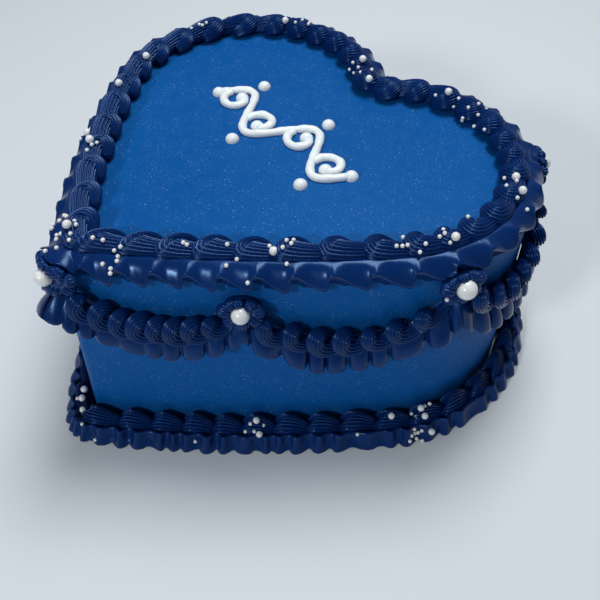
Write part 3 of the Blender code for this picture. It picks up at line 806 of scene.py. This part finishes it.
joints = joint_distances(wall_run) + [wall_run.length]
joint_heights = all_round(JOINT_HEIGHTS) + [JOINT_HEIGHTS[0]]
sags = SWAG_SAGS + tuple(reversed(SWAG_SAGS))
swags = [
    (number, joints[number - 1], joints[number], joint_heights[number - 1], joint_heights[number],
     sags[number - 1])
    for number in range(1, SWAGS + 1)
]
wall_meshes = []
for number, *swag in swags:
    drape = mesh_of("drape_%d" % number, [drape_grid(number, *swag)])
    wall_meshes.append(drape)
    dress("drape_%d" % number, drape, navy.material, "navy_piping", "swag_ruffle_%d" % number)

# The garlands run along the tops of the drapes: a ridged rope from a small star tip, piped in close
# round loops, each lying over the one before it.
LOOP_PITCHES = (6.9, 9.2, 9.0, 9.0, 9.0, 9.0, 9.0, 9.2)
LOOP_END = 6.0
LOOP_TAPER = 0.3
LOOP_UNEVEN = 0.12
LOOP_END_SIZE = 0.72
LOOP_SIZE_CURVE = 0.4
LOOP_STEPS = 28
LOOP_WIDE = 2.9
LOOP_TALL = 3.1
LOOP_LOWER = 1.0
LOOP_TILT = 1.5
LOOP_OUTSET = 4.6
ROPE_RADIUS = 3.3
ROPE_RIDGES = 15
ROPE_GROOVE = 0.28
ROPE_INSIDE = 0.3
ROPE_POINT = 0.02


def garland_grid(number, start, end, first, last, sag):
    begin = start + LOOP_END
    finish = end - LOOP_END
    loops = round((finish - begin) / LOOP_PITCHES[number - 1])
    turn = np.arange(loops * LOOP_STEPS + 1) / LOOP_STEPS
    along = begin + (finish - begin) * turn / loops
    share = (along - start) / (end - start)
    full = LOOP_END_SIZE + (1 - LOOP_END_SIZE) * np.sin(math.pi * share) ** LOOP_SIZE_CURVE
    size = (1 + LOOP_UNEVEN * uneven(turn, number + 5.0)) * full
    angle = 2 * math.pi * turn
    place = along + LOOP_WIDE * size * np.cos(angle)
    middle = swag_height(share, first, last, sag) - LOOP_LOWER
    height = middle + LOOP_TALL * size * np.sin(angle)
    outset = LOOP_OUTSET - LOOP_TILT * np.cos(angle)
    line = np.stack((place, outset, height), -1)
    ends = np.minimum(turn, loops - turn)
    radius = ROPE_RADIUS * size * np.sqrt(np.clip(ends / LOOP_TAPER, ROPE_POINT, 1.0))
    ring = swept(line, radius, ROPE_RIDGES, ROPE_GROOVE)
    return wall_run.spot(ring[..., 0], np.maximum(ring[..., 1], ROPE_INSIDE), ring[..., 2])


for number, *swag in swags:
    garland = mesh_of("garland_%d" % number, [garland_grid(number, *swag)])
    wall_meshes.append(garland)
    dress("garland_%d" % number, garland, navy.material, "navy_piping", "swag_shells_%d" % number)

# A rosette of ridged drops covers each joint between swags. Each drop is pressed out with the star
# tip at the rim and drawn off inwards, and the tails leave a hollow in the middle for a pearl.
ROSETTE_HOLLOW = 2.0
ROSETTE_INSIDE = 0.2
ROSETTE_MIDDLE = 0.04
ROSETTE_BASE = 6.6
ROSETTE_BASE_RISE = 3.0
ROSETTE_AROUND = 96
ROSETTE_ROWS = 10
DROP_ANGLES = (96, 48, 4, -40, -90, -140, 176, 138)
DROP_HEAD = 7.0
DROP_TAIL = 2.6
DROP_RADIUS = 2.9
DROP_RIDGES = 13
DROP_GROOVE = 0.20
DROP_STEPS = 15
DROP_OUTSET = 3.1
DROP_ARCH = 1.1
DROP_BEYOND = 1.8
DROP_CURL = 0.25
DROP_SWAY = 7
DROP_UNEVEN = 0.12
DROP_LEAST = 0.45
DROP_FORM = (0.10, 0.82, 1.35, 0.62)
PEARL_RADII = (3.3, 3.4, 3.9, 3.4, 3.4)
PEARL_SPACES = (1.0, 1.0, 1.0, 1.6, 5.6)


def squeezed(angle):
    """How much nearer the rosette's rim is above the pearl than below it"""
    return 1 - (1 - ROSETTE_RISE / ROSETTE_RADIUS) * np.maximum(np.sin(angle), 0.0)


def rosette_base(place, height, space):
    """A low dome behind the drops, hollowed for the pearl"""
    turn = (2 * math.pi * np.arange(ROSETTE_AROUND) / ROSETTE_AROUND)[None, :]
    share = np.linspace(ROSETTE_MIDDLE, 1.0, ROSETTE_ROWS)[:, None]
    reach = ROSETTE_BASE * share * squeezed(turn)
    front = ROSETTE_HOLLOW + ROSETTE_BASE_RISE * np.sin(math.pi * share) * (1 + space / 4)
    outset = np.vstack((front + 0 * turn, ROSETTE_INSIDE + 0 * turn))
    reach = np.vstack((reach, reach[-1:]))
    return wall_run.spot(place + reach * np.cos(turn), outset, height + reach * np.sin(turn))


def rosette_drop(number, index, place, height, space):
    """One ridged drop, from its tail near the pearl out to its head at the rim"""
    angle = math.radians(DROP_ANGLES[index] + DROP_SWAY * uneven(index, number))
    squeeze = squeezed(angle)
    size = (1 + DROP_UNEVEN * uneven(index, number + 4.0)) * (DROP_LEAST + (1 - DROP_LEAST) * squeeze)
    share = np.linspace(0, 1, DROP_STEPS)
    reach = DROP_TAIL + ((DROP_HEAD + DROP_BEYOND) * squeeze - DROP_TAIL) * share
    curl = angle + DROP_CURL * (1 - share) ** 2
    outset = DROP_OUTSET + space / 2 + DROP_ARCH * np.sin(math.pi * share)
    line = np.stack((reach * np.cos(curl), outset, reach * np.sin(curl)), -1)
    begin, span, fullness, blunt = DROP_FORM
    radius = DROP_RADIUS * size * np.sin(math.pi * (begin + span * share ** fullness)) ** blunt
    rings = swept(line, radius, DROP_RIDGES, DROP_GROOVE)
    outset = np.maximum(rings[..., 1], ROSETTE_INSIDE)
    return wall_run.spot(place + rings[..., 0], outset, height + rings[..., 2])


seats = list(zip(joints, all_round(PEARL_HEIGHTS), all_round(PEARL_RADII), all_round(PEARL_SPACES)))
for number, (place, height, radius, space) in enumerate(seats, 1):
    grids = [rosette_base(place, height, space)]
    grids += [rosette_drop(number, index, place, height, space) for index in range(len(DROP_ANGLES))]
    rosette = mesh_of("rosette_drops_%d" % number, grids)
    wall_meshes.append(rosette)
    dress("rosette_drops_%d" % number, rosette, navy.material, "navy_piping", "rosette_%d" % number)

# The large pearls are sugar balls with a pearly coat, set into the rosettes while the icing is soft.
# They are off white, with a soft sheen.
PEARL_COLOUR = (0.84, 0.86, 0.86, 1.0)
PEARL_SHADE = (0.70, 0.73, 0.74, 1.0)
PEARL_MOTTLE_SCALE = 160.0
PEARL_AROUND = 32
PEARL_LEVELS = 20

pearl = Finish("sugar_pearl", Roughness=0.28, Coat_Weight=0.4, Coat_Roughness=0.12)
pearl.set(
    Base_Color=pearl.mix(pearl.noise(PEARL_MOTTLE_SCALE, 2.0), PEARL_SHADE, PEARL_COLOUR),
    Subsurface_Weight=0.1,
    Subsurface_Scale=0.002,
)
for number, (place, height, radius, space) in enumerate(seats, 1):
    centre = wall_run.spot(place, ROSETTE_HOLLOW + space + radius, height)
    ball = ball_grid(centre, radius, 1.0, PEARL_AROUND, PEARL_LEVELS)
    ball = mesh_of("joint_pearl_%d" % number, [ball])
    dress("joint_pearl_%d" % number, ball, pearl.material, "sugar_pearl", "pearl_%d" % number)

# The foot shells stand against the wall all round the base. Each fans out from a rim of ridges and
# is drawn off to a narrow tail under the next.
FOOT_PITCHES = (
    (0, 16.0), (18, 13.5), (45, 12.5), (60, 12.2), (72, 13.8), (100, 13.8), (115, 15.2),
    (175, 14.5), (638, 14.0),
)
FOOT_OUTSET = 4.9
FOOT_HALF_WIDTH = 4.4
FOOT_HEIGHT = 14.0
FOOT_RIDGES = 30
FOOT_GROOVE = 0.21
FOOT_INSIDE = 0.2
FOOT_FORM = (
    (0.00, 0.22, 0.35), (0.02, 0.46, 0.56), (0.06, 0.70, 0.76), (0.12, 0.88, 0.90), (0.20, 0.97, 0.98),
    (0.30, 1.00, 1.00), (0.42, 0.96, 0.98), (0.56, 0.86, 0.92), (0.70, 0.76, 0.83), (0.86, 0.63, 0.72),
    (1.15, 0.44, 0.54),
)
FOOT_BOW = 0.15
FOOT_BOW_REACH = 0.4
FOOT_ROUND = 0.8
FOOT_GROWTH = 0.10
FOOT_GROWTH_REACH = 60


def foot_grids():
    angle, groove = ridge_angles(0, 180, FOOT_RIDGES)
    cut = 1 - FOOT_GROOVE * groove
    share, wide, tall = (np.array(column)[:, None] for column in zip(*FOOT_FORM))
    grids = []
    places = paced(foot_run.length, FOOT_PITCHES)
    for index, (start, end) in enumerate(zip(places, places[1:])):
        pitch = end - start
        growth = FOOT_GROWTH * min(start / FOOT_GROWTH_REACH, 1.0)
        size = 1 + SHELL_UNEVEN * uneven(index, 1.0) + growth
        out = FOOT_OUTSET + FOOT_HALF_WIDTH * wide * min(size, 1.0) * np.cos(angle) * cut
        up = FOOT_HEIGHT * tall * size * np.sin(np.maximum(angle, 0.0)) ** FOOT_ROUND * cut
        bow = np.sin(angle) ** 6 - np.abs(np.sin(2 * angle))
        bowed = FOOT_BOW * bow * np.maximum(1 - share / FOOT_BOW_REACH, 0.0)
        place = start + pitch * (share + bowed)
        grids.append(foot_run.spot(place, np.maximum(out, FOOT_INSIDE), np.maximum(up, 0.0)))
    return grids


foot_run = Run(FOOT_OUTSET, 0.0)
foot_mesh = mesh_of("foot_shells", foot_grids())
dress("foot_shells", foot_mesh, navy.material, "navy_piping", "bottom_shells")

# The foot ruffle is a pleated ribbon piped round the base in front of the shells. It leans on them
# and its thin lower edge rests on the floor in small scallops.
PLEAT_PITCHES = ((0, 7.4), (80, 7.4), (96, 9.0), (145, 9.5), (165, 9.0), (560, 9.0), (652, 7.4))
PLEAT_STEPS = 22
PLEAT_COLUMNS = 12
FOOT_RUFFLE_TOP = 9.4
FOOT_RUFFLE_LIP = 12.9
FOOT_RUFFLE_SWING = 1.4
FOOT_RUFFLE_HEIGHT = 7.4
FOOT_RUFFLE_THICK = 1.5
FOOT_RUFFLE_EDGE = 0.6
FOOT_RUFFLE_FOLD = 1.8
FOOT_RUFFLE_VALLEY = 0.8
FOOT_RUFFLE_SCALLOP = 1.2
FOOT_RUFFLE_TOP_WAVE = 0.4
FOOT_RUFFLE_LEAN = 1.3
FOOT_RUFFLE_SWAY = 0.28
FOOT_RUFFLE_SWAY_LENGTH = 2.3
FOOT_RUFFLE_SHIFT = 0.6
FOOT_RUFFLE_UNEVEN = 0.4


def foot_ruffle():
    run = Run(FOOT_RUFFLE_LIP, 0.0)
    places = paced(run.length, PLEAT_PITCHES)
    turn = (np.arange((len(places) - 1) * PLEAT_STEPS) / PLEAT_STEPS)[:, None]
    place = np.interp(turn, np.arange(len(places)), places)
    down = (np.arange(PLEAT_COLUMNS) / (PLEAT_COLUMNS - 1))[None, :]
    sway = turn + FOOT_RUFFLE_SWAY * uneven(turn / FOOT_RUFFLE_SWAY_LENGTH, 6.0)
    wave = FOOT_RUFFLE_FOLD * np.abs(np.cos(math.pi * sway)) ** 3 - FOOT_RUFFLE_VALLEY
    depth = 1 + FOOT_RUFFLE_UNEVEN * uneven(turn / 2, 4.0)
    along = place + FOOT_RUFFLE_SHIFT * np.sin(2 * math.pi * turn) * down * depth
    outset = FOOT_RUFFLE_TOP + (FOOT_RUFFLE_LIP - FOOT_RUFFLE_TOP) * down ** FOOT_RUFFLE_LEAN
    outset = outset + FOOT_RUFFLE_SWING * wave * depth * (0.6 + 0.5 * np.sin(math.pi * down))
    foot = FOOT_RUFFLE_EDGE / 2 + FOOT_RUFFLE_SCALLOP * np.maximum(-wave, 0.0) * depth
    top = FOOT_RUFFLE_HEIGHT + FOOT_RUFFLE_TOP_WAVE * wave
    height = foot + (top - foot) * (1 - down)
    thick = FOOT_RUFFLE_THICK + (FOOT_RUFFLE_EDGE - FOOT_RUFFLE_THICK) * down
    grid = ribbon(run, along, outset, height, thick)
    grid[..., 2] = np.maximum(grid[..., 2], 0.0)
    return grid


foot_ruffle_mesh = mesh_of("foot_ruffle", [foot_ruffle()], ring=True)
dress("foot_ruffle", foot_ruffle_mesh, navy.material, "navy_piping", "bottom_ruffle")

# Small pearls and seed pearls are scattered by hand over the piping while it is soft, some alone
# and some in clusters. Each is pressed in a little where it lands.
SMALL_RADII = (1.65, 1.45)
SEED_RADIUS = 0.8
SMALL_AROUND = 20
SMALL_LEVELS = 12
PRESSED_IN = 0.35
SEARCH_START = 30
CROWN_PEARLS = (
    (68.7, 74), (131.1, 71), (167.8, 65), (174.7, 90), (240.3, 105), (276.7, 111), (289.8, 88),
    (347.4, 102), (430.1, 94), (452.1, 62), (483.7, 30), (494.2, 64), (543.0, 66),
)
FOOT_PEARLS = (
    (73.2, 84), (74.4, 63), (129.0, 84), (141.5, 86), (142.8, 74), (144.7, 36), (631.2, 94),
    (634.7, 90), (636.9, 83),
)
CROWN_SEEDS = (
    (7.4, 75), (10.7, 74), (11.9, 23), (14.5, 55), (15.4, 19), (15.6, 12), (16.4, 41), (16.8, 32),
    (17.3, 62), (37.5, 83), (38.9, 81), (52.4, 85), (53.3, 34), (56.4, 49), (60.9, 5), (66.6, 90),
    (72.0, 75), (72.3, 95), (73.4, 39), (74.4, 103), (74.6, 83), (110.7, 74), (112.8, 75),
    (113.8, 112), (114.6, 76), (118.2, 55), (120.3, 70), (126.5, 87), (128.4, 88), (129.3, 65),
    (129.3, 105), (141.6, 112), (164.5, 29), (164.5, 65), (167.2, 103), (172.4, 85), (176.3, 126),
    (213.0, 135), (219.4, 150), (221.9, 113), (224.5, 58), (225.5, 90), (227.2, 117), (227.3, 149),
    (227.7, 158), (235.7, 96), (236.3, 125), (246.4, 114), (279.3, 83), (283.4, 105), (287.1, 105),
    (287.8, 131), (289.8, 137), (290.0, 116), (335.2, 93), (335.8, 79), (338.6, 93), (341.7, 104),
    (388.4, 99), (390.7, 101), (391.8, 93), (395.8, 87), (472.1, 21), (480.0, 24), (486.0, 18),
    (494.7, 75), (496.2, 66), (498.6, 56), (533.1, 34), (535.2, 28), (536.4, 22), (537.7, 19),
    (538.3, 61), (541.0, 76), (541.7, 23), (543.5, 81), (544.1, 25), (544.1, 44), (546.4, 69),
    (547.6, 24), (547.7, 33), (547.9, 62),
)
FOOT_SEEDS = (
    (2.4, 55), (6.6, 20), (48.1, 36), (59.2, 113), (60.4, 116), (68.6, 69), (70.7, 80), (72.3, 69),
    (76.0, 82), (114.8, 54), (135.9, 23), (137.0, 34), (138.4, 93), (138.5, 35), (138.5, 50),
    (138.9, 5), (139.0, 17), (139.9, 35), (139.6, 81), (141.2, 8), (141.3, 41), (142.3, 120),
    (143.5, 89), (145.8, 90), (633.0, 79),
)
WALL_SEEDS = ((136.7, 83.0), (186.1, 68.3), (186.5, 65.5))


def tree_of(*meshes):
    """The meshes' faces, for casting rays at"""
    spots = []
    faces = []
    for mesh in meshes:
        faces += [tuple(len(spots) + corner for corner in face.vertices) for face in mesh.polygons]
        spots += [vertex.co for vertex in mesh.vertices]
    return BVHTree.FromPolygons(spots, faces)


def perched(tree, run, base, spots, radius):
    """Balls where rays from outside, at each distance and tilt, first meet the piping"""
    grids = []
    for distance, tilt in spots:
        lean = math.radians(tilt)
        aim = Vector((run.spot(distance, run.outset, base) - MIDDLE) / PER_METRE)
        outset = run.outset + SEARCH_START * math.cos(lean)
        start = run.spot(distance, outset, base + SEARCH_START * math.sin(lean))
        start = Vector((start - MIDDLE) / PER_METRE)
        ray = (aim - start).normalized()
        hit = tree.ray_cast(start, ray)[0]
        centre = hit - ray * radius * (1 - PRESSED_IN) / PER_METRE
        centre = np.array(centre) * PER_METRE + MIDDLE
        centre[2] = max(centre[2], radius)
        grids.append(ball_grid(centre, radius, 1.0, SMALL_AROUND, SMALL_LEVELS))
    return grids


crown_tree = tree_of(crown_mesh, ruffle_mesh)
foot_tree = tree_of(foot_mesh, foot_ruffle_mesh)
small_grids = perched(crown_tree, crown_run, CAKE_HEIGHT, CROWN_PEARLS, SMALL_RADII[0])
small_grids += perched(foot_tree, foot_run, 0.0, FOOT_PEARLS, SMALL_RADII[1])
small_mesh = mesh_of("small_pearls", small_grids)
dress("small_pearls", small_mesh, pearl.material, "sugar_pearl", "top_shells", "bottom_shells")
seed_grids = perched(crown_tree, crown_run, CAKE_HEIGHT, CROWN_SEEDS, SEED_RADIUS)
seed_grids += perched(foot_tree, foot_run, 0.0, FOOT_SEEDS, SEED_RADIUS)
wall_tree = tree_of(*wall_meshes)
for distance, height in WALL_SEEDS:
    seed_grids += perched(wall_tree, wall_run, height, [(distance, 0)], SEED_RADIUS)
dress("seed_pearls", mesh_of("seed_pearls", seed_grids), pearl.material, "sugar_pearl")
